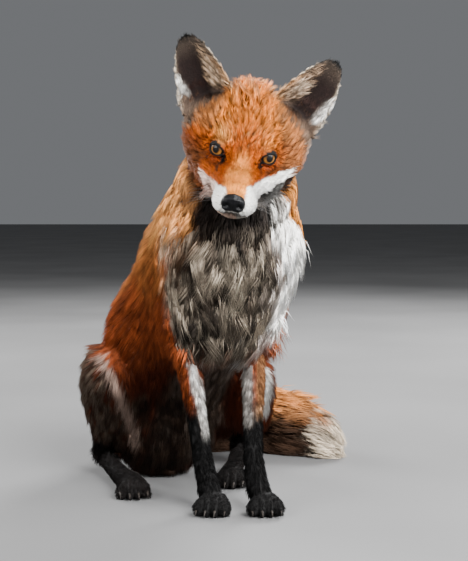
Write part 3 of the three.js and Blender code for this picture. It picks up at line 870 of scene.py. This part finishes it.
FLESH = ["head", "lower_jaw", "neck", "trunk", "tail_root", "tail_brush", "tail_tip"]
for name in SIDES:
    FLESH += [f"{part}_{name}" for part in ("ear", "foreleg", "forepaw", "thigh", "shank", "hindpaw")]
EYES = ["eye_left", "eye_right"]
TOE = 9.6
ALMOND_WIDE, ALMOND_UP, ALMOND_DOWN = 8.9, 4.3, 5.6
SKIN_VOXEL, NOSE_VOXEL = 0.0021, 0.0007
SWELL = 0.45  # how far the solids swell before they are made one
SKIN_LEFT = 0.45  # the share of the skin's faces that the decimation leaves
COAT_SHARE = 0.33  # the most that the coat takes of the flesh's thickness


def almond(u, v):
    """0 at the middle of the opening between the lids and 1 on its edge."""
    high = np.where(np.asarray(v) > 0, ALMOND_UP, ALMOND_DOWN)
    high = high * np.sqrt(np.clip(1.15 - (u / 9.6) ** 2, 0.1, 1))
    return np.sqrt((u / ALMOND_WIDE) ** 2 + (v / high) ** 2)


def thickness(made):
    """How far the far side lies from each point of a closed surface, straight in."""
    tree = BVHTree.FromObject(made, bpy.context.evaluated_depsgraph_get())
    places, n = places_of(made.data), normals_of(made.data)
    far = np.full(len(places), 90.0)
    for k, (start, way) in enumerate(zip((places - n * 0.3) * MM, -n)):
        distance = tree.ray_cast(start, way, 0.09)[3]
        if distance is not None:
            far[k] = distance / MM + 0.3
    return far


def make_skin():
    """The flesh and eyeballs as one closed surface, smoothed, then drawn in by the depth of the coat."""
    skin = solid_copy("skin", FLESH + EYES)
    move_to(skin.data, places_of(skin.data) + normals_of(skin.data) * SWELL)
    skin.data.materials.clear()
    apply(skin, "REMESH", mode="VOXEL", voxel_size=SKIN_VOXEL, adaptivity=0.0, use_smooth_shade=True)
    net = Net(skin.data)
    places = net.smoothed(places_of(skin.data))
    move_to(skin.data, places)
    _, _, coat = coat_at(places)
    most = thickness(skin) * COAT_SHARE
    depth = np.minimum(coat["depth"], most)
    for _ in range(6):
        depth = np.minimum(net.relax(depth[:, None], 0.7)[:, 0], most)
    sole = ramp(14, 2, places[:, 2]) * ramp(-0.1, -0.6, normals_of(skin.data)[:, 2])
    depth = depth * (1 - sole)
    steps = 8
    for _ in range(steps):
        n = net.relax(normals_of(skin.data), 0.5)
        places = places_of(skin.data) - unit(n) * (depth / steps)[:, None]
        places = places + (net.mean(places) - places) * (0.25 * ramp(2, 8, depth))[:, None]
        move_to(skin.data, places)
    move_to(skin.data, with_toes(places_of(skin.data)))
    apply(skin, "DECIMATE", ratio=SKIN_LEFT)
    places = places_of(skin.data)
    places[:, 2] = np.maximum(places[:, 2], 0.15)
    move_to(skin.data, sunk_round_eyes(places))
    return skin


def with_toes(places):
    """Presses three grooves into the front of each paw, between its toes."""
    for limb in (*LEGS.values(), *HIND_LEGS.values()):
        ahead = unit(limb["ahead"])
        q = places - limb["paw"]
        along, side = q @ ahead, q @ np.cross(ahead, DOWN)
        gap = np.max([np.exp(-(((side - k * TOE) / 2.2) ** 2)) for k in (-1, 0, 1)], axis=0)
        gap = gap * ramp(6, 18, along) * (along < 45) * (np.abs(side) < 22) * (q[:, 2] < 22)
        places = places - q * (0.2 * gap)[:, None]
    return places


def sunk_round_eyes(places):
    """Draws the skin in behind the opening of each eye, out of sight behind the eyeball's front."""
    for s in SIDES.values():
        local = in_eye(places, s)
        inside = ramp(1.1, 0.85, np.hypot(local[:, 0] / 12, local[:, 1] / 9.5)) * (local[:, 2] > 0)
        local[:, 2] -= inside * np.maximum(local[:, 2] - 3, 0)
        places = places + (from_eye(local, s) - places) * (inside > 0)[:, None]
    return places


def make_lids(s, name):
    """A rounded fold round the opening of one eye, which hugs the eyeball. It starts as a ring."""
    thick = 0.4
    lids = primitive(name, bpy.ops.mesh.primitive_torus_add, major_segments=56, minor_segments=14,
                     major_radius=1, minor_radius=thick)
    x, y, z = read(lids.data.vertices, "co").T
    turn = np.arctan2(y, x)
    out, up = (np.hypot(x, y) - 1) / thick, z / thick
    c, sn = np.cos(turn), np.sin(turn)
    edge = 1 / almond(c, sn)
    for _ in range(12):
        edge = edge / almond(edge * c, edge * sn)
    spread = np.where(sn > 0, 3.4, 2.7)
    reach = edge + spread * (1 + out) - 0.5
    u, v = reach * c, reach * sn
    shell = EYEBALL + 0.55 + 0.85 * up - 0.10 * np.maximum(out + 0.2, 0) * spread
    w = np.sqrt(np.maximum(shell ** 2 - u ** 2 - v ** 2, 1.0))
    move_to(lids.data, from_eye(np.column_stack((u, v, w)), s))
    lids.data.shade_smooth()
    recalculate(lids)
    return lids


def make_eye(s, name):
    """An eyeball with a bulging cornea."""
    eye = primitive(name, bpy.ops.mesh.primitive_uv_sphere_add, segments=48, ring_count=32, radius=1)
    local = read(eye.data.vertices, "co") * EYEBALL
    off = np.hypot(local[:, 0], local[:, 1])
    local[:, 2] += 0.7 * ramp(7.8, 2, off) * (local[:, 2] > 0)
    layer = eye.data.attributes.new("eye place", "FLOAT_VECTOR", "POINT")
    layer.data.foreach_set("vector", local.ravel())
    move_to(eye.data, from_eye(local, s))
    eye.data.shade_smooth()
    recalculate(eye)
    dress(eye.data, EYE)
    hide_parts("eye_left" if s > 0 else "eye_right")
    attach(eye, "root")
    return eye


def make_nose():
    """The nose's leather, with two comma-shaped nostrils and the groove between them."""
    nose = solid_copy("nose_leather", ["nose"])
    apply(nose, "REMESH", mode="VOXEL", voxel_size=NOSE_VOXEL, use_smooth_shade=True)
    h = in_head(Net(nose.data).smoothed(places_of(nose.data)))
    side = np.abs(h[:, 0] + 1)
    front = ramp(-66, -70, h[:, 1])
    hole = np.exp(-(((side - 5.8) / 2.6) ** 2 + ((h[:, 2] + 25.0) / 1.9) ** 2))
    slit = np.exp(-(((side - 9.2) / 2.6) ** 2 + ((h[:, 2] + 27.0 + 0.25 * (side - 8)) / 0.9) ** 2))
    groove = np.exp(-(((h[:, 0] + 1) / 0.55) ** 2)) * ramp(-23, -26, h[:, 2])
    h[:, 0] = -1 + (h[:, 0] + 1) * 1.05
    h[:, 2] = np.where(h[:, 2] < -23, -23 + (h[:, 2] + 23) * 1.3, h[:, 2])
    dent = np.minimum(3.2 * hole + 1.7 * slit + 0.9 * groove, 3.4) * front
    h[:, 1] += dent
    move_to(nose.data, h @ HEAD_TURN.T + EYE_LINE + SHIFT)
    dress(nose.data, NOSE_LEATHER)
    nose.data.shade_smooth()
    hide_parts("nose")
    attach(nose, "root")
    return nose


# ---- coat

# Spikes in each patch, the bends of each spike, and the spikes in a lock, on average. A spike has 4 faces,
# or 10 where it bends.
GROWTH = {
    "face": (46000, 0, 24),
    "head": (17500, 1, 15),
    "ears": (26000, 0, 11),
    "neck": (14500, 1, 22),
    "chest": (19500, 1, 26),
    "back": (37000, 0, 30),
    "flanks": (30000, 0, 26),
    "haunches": (30000, 0, 26),
    "legs": (27000, 0, 14),
    "paws": (11000, 0, 12),
    "tail": (16000, 1, 26),
}
FLOOR_GAP = 0.4
# No hair grows within these half measures of each eye's middle, within this of the nose's, or below this
# where the skin faces down.
BARE_WIDE, BARE_HIGH, BARE_NOSE, BARE_SOLE = 10.8, 8.6, 10.5, 2.5
PATCH_SIZE = 0.003  # of one spike's place on the map


class Ground:
    """The skin as triangles, from which roots are drawn."""

    def __init__(self, mesh):
        mesh.calc_loop_triangles()
        self.corners = read(mesh.loop_triangles, "vertices", kind=int)
        self.places = places_of(mesh)
        self.normals = normals_of(mesh)
        a, b, c = (self.places[self.corners[:, k]] for k in range(3))
        self.area = np.linalg.norm(np.cross(b - a, c - a), axis=1) / 2
        self.middle = (a + b + c) / 3
        self.patch, _, self.coat = coat_at(self.middle)

    def roots(self, patch, count, keep):
        """Roots in one patch: the triangle of each, and its share of the triangle's corners."""
        weight = self.area * (self.patch == patch) * keep
        picked = chance.choice(len(weight), count, p=weight / weight.sum())
        r = np.sqrt(chance.random(count))
        t = chance.random(count)
        return picked, np.column_stack((1 - r, r * (1 - t), r * t))

    def spread(self, values, picked, share):
        return np.einsum("ij,ijk->ik", share, values[self.corners[picked]])


def unwrapped(ground, patch):
    """Where each corner of a patch's triangles lies on an unwrap of that part of the skin."""
    mine = np.flatnonzero(ground.patch == patch)
    used, flat = np.unique(ground.corners[mine], return_inverse=True)
    piece = made_object("unwrap", ground.places[used], flat.reshape(-1, 3))
    edited(piece, bpy.ops.uv.smart_project, angle_limit=math.radians(80), island_margin=0.004)
    mesh = piece.data
    corners = np.zeros((len(ground.corners), 3, 2))
    corners[mine] = read(mesh.uv_layers.active.data, "uv", 2).reshape(-1, 3, 2)
    bpy.data.objects.remove(piece)
    bpy.data.meshes.remove(mesh)
    return corners


def lock_leaders(places, count):
    """For each root, the nearest of a few roots picked to lead a lock."""
    leaders = chance.choice(len(places), max(count, 1), replace=False)
    tree = kdtree.KDTree(len(leaders))
    for k, leader in enumerate(leaders):
        tree.insert(places[leader], k)
    tree.balance()
    return np.array([leaders[tree.find(p)[1]] for p in places])


def spike_faces(rings, count):
    """The faces of some closed spikes, each of rings of three corners and a tip."""
    faces = [(2, 1, 0)]
    for row in range(rings - 1):
        for k in range(3):
            a, b = 3 * row + k, 3 * row + (k + 1) % 3
            faces += [(a, b, b + 3), (a, b + 3, a + 3)]
    last = 3 * (rings - 1)
    faces += [(last + k, last + (k + 1) % 3, last + 3) for k in range(3)]
    first = (last + 4) * np.arange(count)
    return (np.array(faces) + first[:, None, None]).reshape(-1, 3)


def hair_colours(spare, same, own, aside, bends):
    """The colour of each corner: dark at the root, frosted or flecked at the tip, and darker at a lock's
    edge as painted shade between locks.
    """
    none = np.zeros(len(own))
    contrast = spare.get("contrast", none + 0.6)
    fleck = spare.get("fleck", none)
    # Each lock has a tone of its own; hairs towards a lock's edge are darker, painted shade in the gaps
    # between locks.
    tone = (1 + contrast * (same[0] - 0.5)) * (0.86 + 0.28 * own[:, 3]) * (1.12 - contrast * 0.6 * aside)
    outer = spare["outer"] * tone[:, None]
    shade = spare.get("root_shade", 0.34 + 0.46 * ramp(0.45, 0.85, outer.min(axis=1)))
    inner = outer * shade[:, None]
    frost = spare.get("frost", none) * ramp(0.35, 0.9, same[1]) * (0.6 + 0.4 * own[:, 1])
    frost = np.maximum(frost, fleck * (own[:, 0] > 0.88))
    outer = outer * (1 - 0.6 * fleck * (own[:, 0] < 0.12))[:, None]
    tips = outer + (np.array(spare.get("frost_colour", CREAM)) * tone[:, None] - outer) * frost[:, None]
    middle = [0.3 * inner + 0.4 * outer + 0.3 * tips] * 3 * bends
    return np.clip(np.stack([inner] * 3 + middle + [tips], axis=1).reshape(-1, 3), 0, 1)


def along_skin(way, n):
    return unit(way - n * np.sum(way * n, axis=1)[:, None])


def lean(way, other, angle):
    """The way at an angle from one way towards another."""
    return way * np.cos(angle)[:, None] + other * np.sin(angle)[:, None]


def spikes(spare, lead, lock, same, own, bends):
    """The corners of every spike: rings of three, then the tip."""
    root, n = spare["root"], spare["n"]
    swirl = np.radians((12 + 34 * spare["wave"]) * (mottle(root, 13, 21) + mottle(root, 5, 22) - 1))
    swirl = swirl + np.radians(14) * (own[:, 0] - 0.5)
    t = along_skin(spare["way"], n)
    s = np.cross(n, t)
    t, s = lean(t, s, swirl), lean(s, -t, swirl)
    # Hairs in folds, and those away from a lock, are short and lie flat.
    company = np.bincount(lead, minlength=len(root))[lead] / lock
    sure = ramp(0.4, 0.85, np.sum(n * n[lead], axis=1)) * ramp(0.08, 0.3, company)
    sure = sure * ramp(0.15, 0.4, np.linalg.norm(np.cross(n, spare["way"]), axis=1))
    length = spare["length"] * (0.72 + 0.5 * own[:, 1]) * (0.85 + 0.3 * same[0]) * (0.35 + 0.65 * sure)
    stand = spare["depth"] * (0.7 + 0.35 * same[1]) * (0.3 + 0.7 * sure)
    rise = np.arcsin(np.clip(1.8 * stand / length, 0.08, 0.92))
    base = root - n * 0.5
    pull = (spare["clump"] * (0.6 + 0.4 * own[:, 3]))[:, None]
    width = (spare["width"] * (0.75 + 0.5 * own[:, 2]))[:, None, None] / 2
    corner = np.radians((-30, 90, 210))
    ring = s[:, None] * np.cos(corner)[None, :, None] + n[:, None] * (0.75 * np.sin(corner))[None, :, None]
    if bends:
        half = length[:, None] / 2
        bend = (spare["wave"] * length * 0.2 * np.sin(6.3 * (same[2] + 0.15 * own[:, 2])))[:, None]
        knee = base + lean(t, n, rise) * half + s * bend
        tip = knee + lean(t, n, rise * 0.15 - 0.05) * half - s * bend * 1.4
        knee = knee + (knee[lead] + (base - base[lead]) * 0.7 - knee) * pull * 0.5
        rings = [base[:, None] + ring * width * 0.8, knee[:, None] + ring * width]
    else:
        tip = base + lean(t, n, rise * 0.6) * length[:, None]
        rings = [base[:, None] + ring * width]
    tip = tip + (tip[lead] - tip) * pull
    points = np.concatenate(rings + [tip[:, None]], axis=1)
    points[..., 2] = np.maximum(points[..., 2], FLOOR_GAP)
    return points.reshape(-1, 3)


def grow(name, ground, patch, count, bends, lock, keep, change=None):
    """Grows one patch of the coat as a piece of its own."""
    index = PATCHES.index(patch)
    picked, share = ground.roots(index, count, keep)
    root = ground.spread(ground.places, picked, share)
    n = unit(ground.spread(ground.normals, picked, share))
    uv = np.einsum("ij,ijk->ik", share, unwrapped(ground, index)[picked])
    _, way, coat = coat_at(root)
    seen = root + n * (0.9 * coat["depth"])[:, None] + along_skin(way, n) * (0.5 * coat["length"])[:, None]
    outer = markings(seen, n, np.full(count, index))
    spare = dict(root=root, n=n, way=way, outer=outer, seen=seen, **coat)
    if change:
        change(spare)
    lead = lock_leaders(root, count // lock)
    # How far each root lies towards its lock's edge, where the hair is darkened as painted shade between
    # locks.
    away = np.linalg.norm(root - root[lead], axis=1)
    usual = np.bincount(lead, away, count) / np.maximum(np.bincount(lead, minlength=count), 1)
    aside = ramp(0.5, 1.6, away / np.maximum(usual[lead], 0.1))
    same = chance.random(count)[lead], chance.random(count)[lead], chance.random(count)[lead]
    own = chance.random((count, 4))
    rings = bends + 1
    made = made_object(name, spikes(spare, lead, lock, same, own, bends), spike_faces(rings, count))
    mesh = made.data
    give_colours(mesh, "coat", hair_colours(spare, same, own, aside, bends))
    across = np.tile(np.append(np.tile((0.0, 0.5, 1.0), rings), 0.5), (count, 1))
    down = np.tile(np.append(np.repeat(np.arange(rings) / rings, 3), 1.0), (count, 1))
    spot = uv[:, None] * (1 - PATCH_SIZE) + PATCH_SIZE * np.stack((across, down), axis=2)
    loops = read(mesh.loops, "vertex_index", 1, int).ravel()
    mesh.uv_layers.new(name="OFBake").data.foreach_set("uv", spot.reshape(-1, 2)[loops].ravel())
    dress(mesh, HAIR)
    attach(made, "root")
    return made


def frosted(spare):
    """The ruff: dark at the root, with pale ends on the grey of the bib."""
    grey = ramp(0.34, 0.2, spare["outer"].max(axis=1))
    z = spare["seen"][:, 2]
    light = mottle(spare["seen"] * (1.6, 1.6, 0.5), 12, 16)
    spare["frost"] = grey * ramp(166, 190, z) * ramp(318, 286, z) * ramp(0.32, 0.56, light)
    spare["root_shade"] = 0.25 + 0.55 * ramp(0.45, 0.85, spare["outer"].min(axis=1))
    spare["contrast"] = 0.9 - 0.6 * ramp(0.5, 0.85, spare["outer"].min(axis=1))


def grizzled(spare):
    """The haunches: dark fur with paler ends."""
    spare["frost"] = 0.22 * ramp(0.12, 0.07, spare["outer"].max(axis=1))


def flecked(spare):
    """The forehead and crown: single pale ends among the orange, and a paler tuft between the ears."""
    side, _, up = in_head(spare["root"]).T
    pale = ramp(0.5, 0.85, spare["outer"].min(axis=1))
    spare["contrast"] = (0.45 + 0.55 * ramp(-8, 6, up)) * (1 - 0.6 * pale)
    spare["frost_colour"] = PALE_TIP
    spare["fleck"] = 0.5 * ramp(0, 8, up) * ramp(44, 20, np.abs(side))
    spare["frost"] = 0.3 * ramp(30, 42, up) * ramp(36, 20, np.abs(side))
    loose = ramp(32, 44, up) * ramp(34, 12, np.abs(side))
    spare["depth"] = spare["depth"] * (1 + 0.9 * loose)
    spare["length"] = spare["length"] * (1 + 0.4 * loose)
    spare["clump"] = spare["clump"] * (1 + 0.2 * loose)


def ear_lining(ground, keep):
    """Which of the skin carries the long hairs that cross each ear's cup."""
    n = unit(ground.normals[ground.corners].mean(axis=1))
    lined = np.zeros(len(keep))
    for s in SIDES.values():
        v, inner, mine = on_ear(ground.middle, s)
        cup = mine * ramp(0.1, 0.4, n @ ear_axes(s)[4])
        medial = ramp(0.15, 0.5, inner) * (0.12 + 0.88 * ramp(0.62, 0.3, v))
        medial = medial * ramp(0.86, 0.7, v) * ramp(0.1, 0.16, v)
        lateral = ramp(-0.6, -0.7, inner) * ramp(0.5, 0.35, v) * ramp(0.16, 0.24, v)
        lined += cup * (medial + 0.25 * lateral)
    return keep * lined


def cross_ear(spare):
    """Hairs that run from an ear's inner edge across its cup, and from its outer edge towards the tip."""
    root = spare["root"]
    for s in SIDES.values():
        _, _, along, across, front = ear_axes(s)
        _, inner, mine = on_ear(root, s)
        medial = (inner > 0)[:, None]
        way = np.where(medial, along * 0.75 - across * 0.65, along * 0.8 + across * 0.35) + front * 0.4
        spare["way"] = np.where(mine[:, None], way, spare["way"])
        pale = (0.22, 0.145, 0.095) if s > 0 else (0.36, 0.24, 0.150)
        outer = np.where(medial, np.array(pale), np.array(WHITE))
        outer = toward(outer, (0.42, 0.20, 0.075), 0.7 * ramp(0.55, 0.95, inner))
        spare["outer"] = np.where(mine[:, None], outer, spare["outer"])
    count = len(root)
    spare["length"] = 9.0 + 7 * chance.random(count)
    steady = dict(depth=2.6, width=0.44, wave=0.5, clump=0.6, frost=0.4, contrast=1.2, root_shade=0.3)
    spare.update({measure: np.full(count, value) for measure, value in steady.items()})


def strong(spare):
    """The back, flanks, legs and paws: locks that differ more from one another."""
    spare["contrast"] = np.full(len(spare["root"]), 0.95)


CHANGES = {
    "legs": strong,
    "paws": strong,
    "back": strong,
    "flanks": strong,
    "chest": frosted,
    "neck": frosted,
    "face": flecked,
    "head": flecked,
    "haunches": grizzled,
}


def make_coat(skin):
    ground = Ground(skin.data)
    keep = np.ones(len(ground.area))
    for s in SIDES.values():
        local = in_eye(ground.middle, s)
        bare = np.hypot(local[:, 0] / BARE_WIDE, local[:, 1] / BARE_HIGH) < 1
        keep = keep * ~(bare & (local[:, 2] > 0))
    keep = keep * (np.linalg.norm(ground.middle - on_head(-1, -69, -25.5), axis=1) > BARE_NOSE)
    keep = keep * ((ground.middle[:, 2] > BARE_SOLE) | (ground.normals[ground.corners[:, 0], 2] > -0.5))
    keep = keep * (0.35 + 1 / np.maximum(ground.coat["length"] * ground.coat["width"], 1) ** 0.5)
    for patch, (count, bends, lock) in GROWTH.items():
        count = count
        grow(f"coat_{patch}", ground, patch, count, bends, lock, keep, CHANGES.get(patch))
    lining = 2700
    grow("coat_ear_lining", ground, "ears", lining, 1, 11, ear_lining(ground, keep), cross_ear)


WHISKERS = 13  # on each side


def make_whiskers():
    """Long stiff hairs from the pads of the upper lip, each a thin closed spike."""
    vertices = []
    for s in SIDES.values():
        for k in range(WHISKERS):
            start = on_head(s * (13 + 1.5 * (k % 3)), -58 + 3.2 * (k % 5), -28 - 2.3 * (k // 5))
            aside = s * (1 + 0.3 * chance.random())
            back = 0.35 + 0.3 * chance.random()
            way = head_way(aside, back, -0.35 + 0.5 * chance.random())
            long = 34 + 22 * chance.random()
            side = unit(np.cross(way, DOWN))
            up = np.cross(side, way)
            for t, thick in ((0, 0.24), (0.35, 0.2), (0.7, 0.13)):
                middle = start + way * long * t + DOWN * (long * 0.28 * t * t)
                for corner in np.radians((0, 120, 240)):
                    vertices.append(middle + (side * math.cos(corner) + up * math.sin(corner)) * thick)
            vertices.append(start + way * long + DOWN * (long * 0.28))
    whiskers = made_object("whiskers", np.array(vertices), spike_faces(3, len(SIDES) * WHISKERS))
    recalculate(whiskers)
    dress(whiskers.data, WHISKER)
    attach(whiskers, "root")


# ---- camera and light


def set_stage():
    floor = primitive("floor", bpy.ops.mesh.primitive_plane_add, size=40)
    finish = Finish("pale floor", Roughness=0.85)
    finish.set(Base_Color=finish.shades(finish.noise(2.0, 2), (0.3, (0.10,) * 3), (0.7, (0.13,) * 3)))
    dress(floor.data, finish.material)
    camera = bpy.data.cameras.new("camera")
    camera.lens, camera.sensor_width = 77.3, 36.0
    camera.clip_start, camera.clip_end = 0.05, 50
    view = bpy.data.objects.new("camera", camera)
    view.location = at(0, -1300, 342) * MM
    view.rotation_euler = (math.radians(90 - 3.585), 0, 0)
    bpy.context.scene.collection.objects.link(view)
    bpy.context.scene.camera = view
    middle = Vector(at(0, 100, 260) * MM)
    for name, place, size, power in (
        ("key", (1.1, -2.0, 1.6), 1.3, 265),
        ("fill", (-2.0, -1.7, 1.5), 2.0, 150),
        ("side", (2.1, -0.9, 0.9), 1.2, 80),
        ("rim", (1.1, 2.0, 1.9), 1.2, 190),
        ("rim_left", (-1.8, 1.6, 1.5), 1.2, 90),
    ):
        light = bpy.data.lights.new(name, "AREA")
        light.size, light.energy = size, power
        lamp = bpy.data.objects.new(name, light)
        lamp.location = place
        lamp.rotation_euler = (middle - Vector(place)).to_track_quat("-Z", "Y").to_euler()
        bpy.context.scene.collection.objects.link(lamp)
    world = bpy.data.worlds.new("studio")
    world.use_nodes = True
    background = world.node_tree.nodes["Background"].inputs
    background["Color"].default_value = (0.55, 0.57, 0.60, 1)
    background["Strength"].default_value = 0.3
    bpy.context.scene.world = world


set_stage()
HAIR, EYE, NOSE_LEATHER = coat_finish(), eye_finish(), nose_finish()
WHISKER = Finish("whisker", Base_Color=(0.03, 0.026, 0.024, 1), Roughness=0.4).material

skin = make_skin()
for name, s in SIDES.items():
    lids = make_lids(s, f"lids_{name}")
    alone(skin)
    lids.select_set(True)
    bpy.ops.object.join()
patch, _, coat = coat_at(places_of(skin.data))
seen = places_of(skin.data) + normals_of(skin.data) * coat["depth"][:, None]
give_colours(skin.data, "coat", np.clip(markings(seen, normals_of(skin.data), patch) * 0.5, 0, 1))
dress(skin.data, skin_finish())
skin.data.shade_smooth()
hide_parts(*FLESH)
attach(skin, "root")

for name, s in SIDES.items():
    make_eye(s, f"eyeball_{name}")
make_nose()
make_coat(skin)
make_whiskers()

horn = claw_finish()
for name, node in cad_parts.items():
    if name.startswith("claw"):
        dress(node.data, horn)
